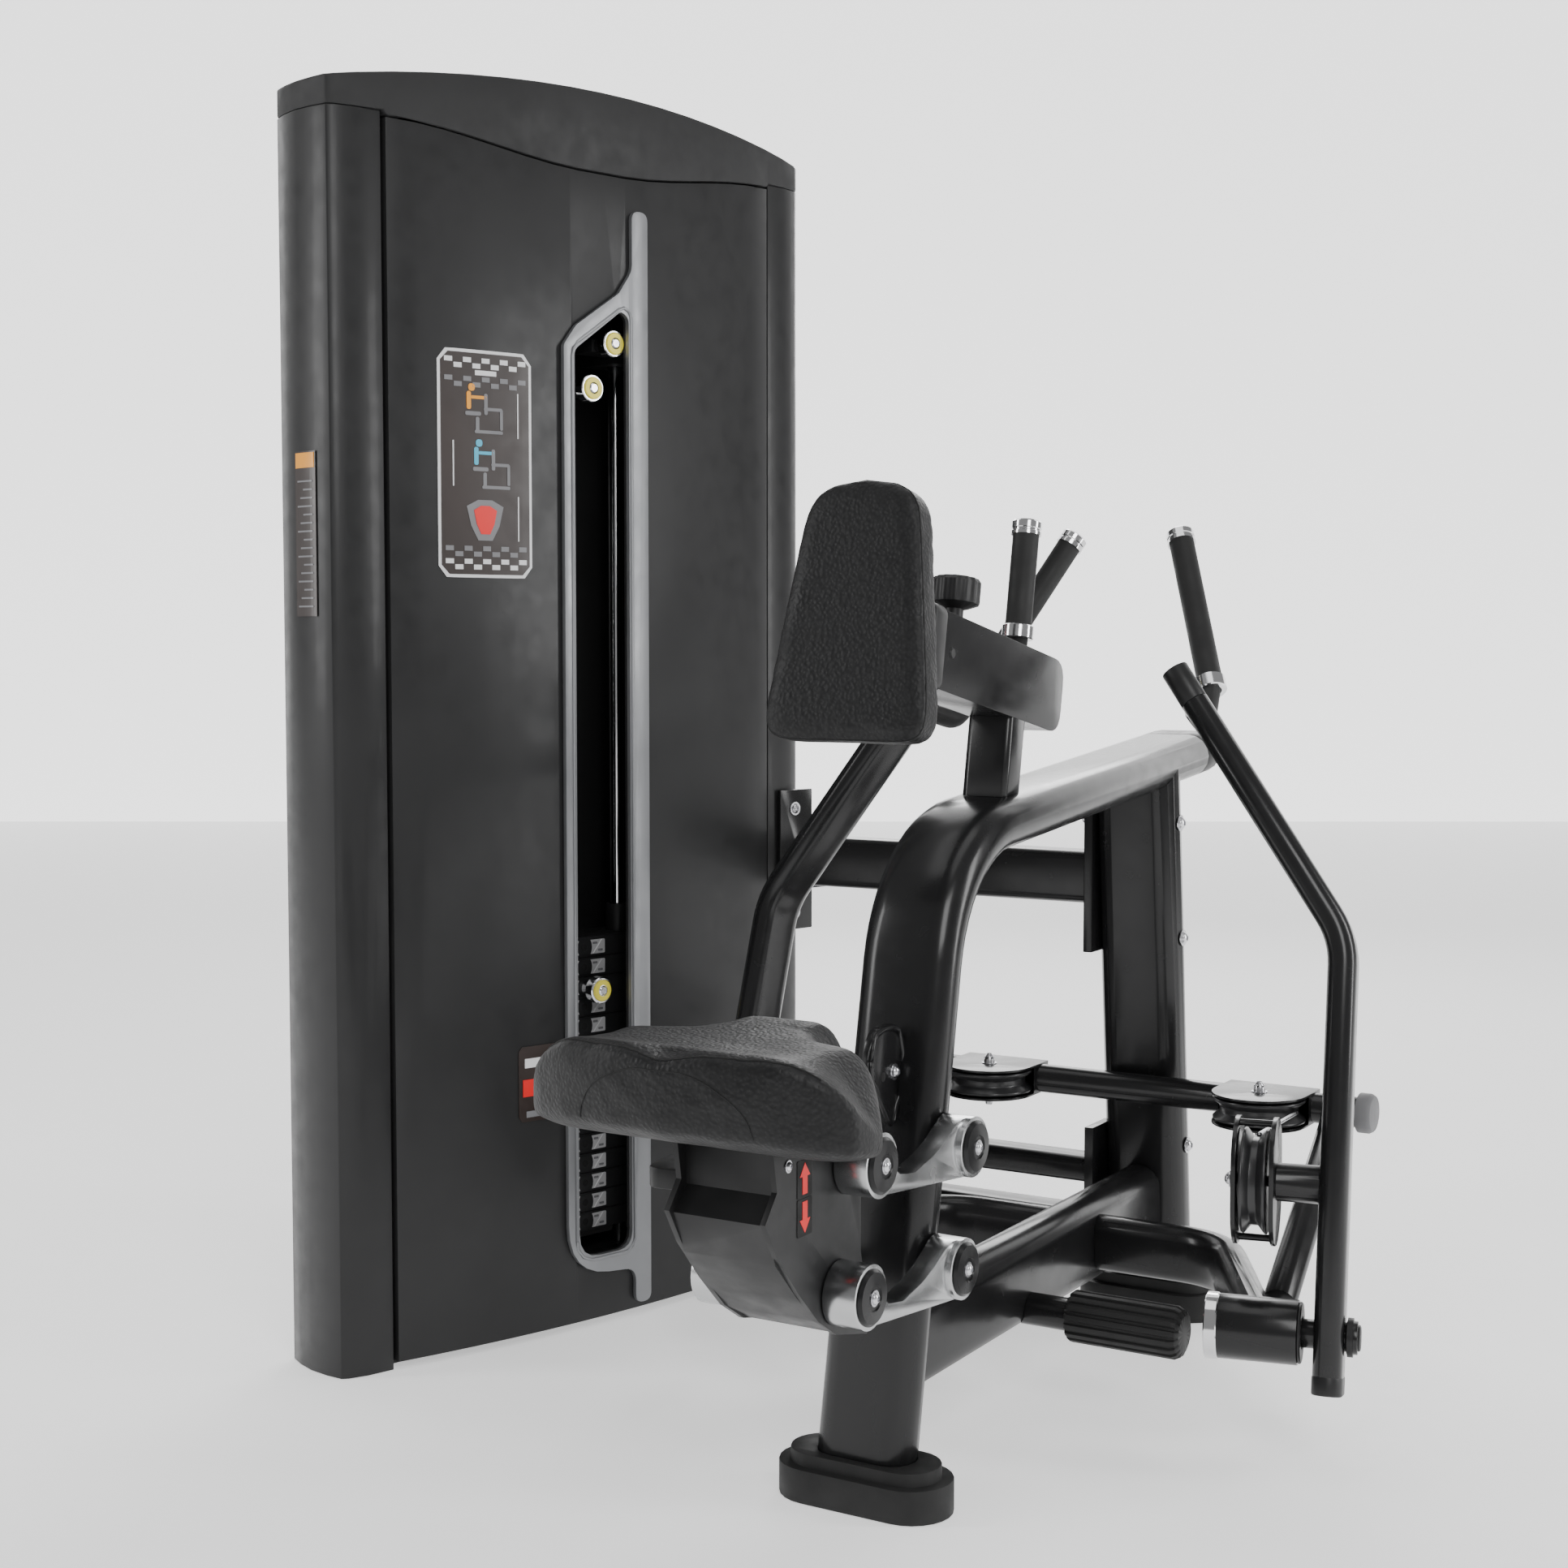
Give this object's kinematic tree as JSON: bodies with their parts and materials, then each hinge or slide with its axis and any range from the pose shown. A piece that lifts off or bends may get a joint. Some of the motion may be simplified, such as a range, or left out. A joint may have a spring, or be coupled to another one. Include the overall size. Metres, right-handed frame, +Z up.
{
  "type": "seated cable row machine",
  "caption": "Seated row machine with a weight tower, adjustable seat, chest pad, swinging handle arms and foot pegs on a bent tube frame.",
  "frame": {"origin": "on the floor at the middle of the front foot", "axes": "+Z up, +Y the way the seated user faces, +X to the user's right, away from the weight tower"},
  "size_m": [1.2669, 1.3465, 1.602],
  "materials": {
    "black_paint": "gloss",
    "dark_plastic": "matte",
    "black_rubber": "matte",
    "black_leather": "grained",
    "cast_silver": "satin",
    "bright_steel": "polished",
    "dark_iron": "satin"
  },
  "bodies": {
    "frame": {"arch_end_cap": "dark_plastic", "base_beam": "black_paint", "centre_grip": "black_rubber", "crossbar": "black_paint", "crossbar_cap_left": "black_rubber", "crossbar_cap_right": "black_rubber", "crosshead": "black_paint", "crown_cap": "dark_plastic", "foot_peg_left": "black_rubber", "foot_peg_right": "black_rubber", "front_foot": "black_rubber", "front_panel": "black_paint", "guide_rod_far": "bright_steel", "guide_rod_near": "bright_steel", "instruction_placard": "dark_plastic", "lower_beam": "black_paint", "lower_tube": "black_paint", "main_arch": "black_paint", "pad_beam": "black_paint", "pad_post": "black_paint", "peg_bar_left": "black_paint", "peg_bar_right": "black_paint", "post_bracket": "black_paint", "rear_foot": "black_rubber", "rear_panel": "black_paint", "rear_post": "black_paint", "side_frame_left": "black_paint", "side_frame_right": "black_paint", "slot_trim": "cast_silver", "tower_base": "black_paint", "tower_column_far": "black_paint", "tower_column_near": "black_paint", "upper_beam": "black_paint", "weight_stack": "dark_iron"},
    "lifted_plates": {"top_plates": "dark_iron"},
    "selector_pin": {"selector_pin": "cast_silver"},
    "addon_upper": {"addon_weight_upper": "dark_iron"},
    "addon_lower": {"addon_weight_lower": "dark_iron"},
    "top_pulley": {"top_pulley": "dark_plastic"},
    "outer_pulley": {"outer_pulley": "dark_plastic"},
    "crossbar_pulley_right": {"crossbar_pulley_right": "dark_plastic"},
    "crossbar_pulley_left": {"crossbar_pulley_left": "dark_plastic"},
    "right_arm": {"arm_right": "black_paint", "arm_cap_right": "dark_plastic", "handle_right": "black_rubber", "pulley_fork_right": "black_paint"},
    "left_arm": {"arm_left": "black_paint", "arm_cap_left": "dark_plastic", "handle_left": "black_rubber", "pulley_fork_left": "black_paint"},
    "arm_pulley_right": {"arm_pulley_right": "dark_plastic"},
    "arm_pulley_left": {"arm_pulley_left": "dark_plastic"},
    "lower_links": {"lower_links": "cast_silver"},
    "upper_links": {"upper_links": "cast_silver"},
    "seat": {"seat_carriage": "dark_plastic", "seat_cushion": "black_leather"},
    "seat_lever": {"seat_lever": "dark_plastic"},
    "chest_pad": {"pad_slide": "bright_steel", "chest_pad": "black_leather"},
    "pad_knob": {"pad_knob": "dark_plastic"}
  },
  "joints": [
    {"name": "right_arm_swing", "type": "hinge", "parent": "frame", "child": "right_arm", "pos_m": [0.391, 0.329, 0.15], "axis": [0.9744, 0.225, 0], "range_deg": [0, 40]},
    {"name": "left_arm_swing", "type": "hinge", "parent": "frame", "child": "left_arm", "pos_m": [-0.391, 0.329, 0.15], "axis": [0.9744, -0.225, 0], "range_deg": [0, 40]},
    {"name": "right_arm_pulley_spin", "type": "hinge", "parent": "right_arm", "child": "arm_pulley_right", "pos_m": [0.30015, 0.34795, 0.305], "axis": [0.9744, 0.225, 0], "continuous": true},
    {"name": "left_arm_pulley_spin", "type": "hinge", "parent": "left_arm", "child": "arm_pulley_left", "pos_m": [-0.30015, 0.34795, 0.305], "axis": [0.9744, -0.225, 0], "continuous": true},
    {"name": "right_crossbar_pulley_spin", "type": "hinge", "parent": "frame", "child": "crossbar_pulley_right", "pos_m": [0.188, 0.681, 0.314], "axis": [0, 0, 1], "continuous": true},
    {"name": "left_crossbar_pulley_spin", "type": "hinge", "parent": "frame", "child": "crossbar_pulley_left", "pos_m": [-0.188, 0.681, 0.314], "axis": [0, 0, 1], "continuous": true},
    {"name": "top_pulley_spin", "type": "hinge", "parent": "frame", "child": "top_pulley", "pos_m": [-0.66838, 0.44567, 1.478], "axis": [-0.9627, 0.2704, 0], "continuous": true},
    {"name": "outer_pulley_spin", "type": "hinge", "parent": "frame", "child": "outer_pulley", "pos_m": [-0.62836, 0.58816, 1.478], "axis": [-0.9627, 0.2704, 0], "continuous": true},
    {"name": "stack_lift", "type": "slide", "parent": "frame", "child": "lifted_plates", "axis": [0, 0, 1], "range_m": [0, 0.5]},
    {"name": "selector_pin_pull", "type": "slide", "parent": "lifted_plates", "child": "selector_pin", "axis": [0.9627, -0.2704, 0], "range_m": [0, 0.025]},
    {"name": "addon_upper_drop", "type": "slide", "parent": "frame", "child": "addon_upper", "axis": [0, 0, 1], "range_m": [-0.6, 0]},
    {"name": "addon_lower_drop", "type": "slide", "parent": "frame", "child": "addon_lower", "axis": [0, 0, 1], "range_m": [-0.6, 0.02]},
    {"name": "seat_height", "type": "hinge", "parent": "frame", "child": "lower_links", "pos_m": [0, 0.043, 0.249], "axis": [1, 0, 0], "range_deg": [-22, 12]},
    {"name": "seat_level", "type": "hinge", "parent": "lower_links", "child": "seat", "pos_m": [0, -0.159, 0.27], "axis": [1, 0, 0], "range_deg": [-12, 22]},
    {"name": "upper_link_turn", "type": "hinge", "parent": "frame", "child": "upper_links", "pos_m": [0, 0.065, 0.373], "axis": [1, 0, 0], "range_deg": [-22, 12]},
    {"name": "seat_lever_lift", "type": "hinge", "parent": "seat", "child": "seat_lever", "pos_m": [-0.0568, -0.208, 0.39], "axis": [0, 1, 0], "range_deg": [0, 10], "stiffness_Nm_per_rad": 8},
    {"name": "pad_reach", "type": "slide", "parent": "frame", "child": "chest_pad", "axis": [0, -0.9829, 0.184], "range_m": [-0.05, 0.1]},
    {"name": "pad_knob_pull", "type": "slide", "parent": "frame", "child": "pad_knob", "axis": [0, 0.184, 0.9829], "range_m": [0, 0.01], "stiffness_N_per_m": 1500}
  ],
  "couplings": [
    {"joint": "seat_level", "follows": "seat_height", "ratio": -1},
    {"joint": "upper_link_turn", "follows": "seat_height", "ratio": 1}
  ]
}
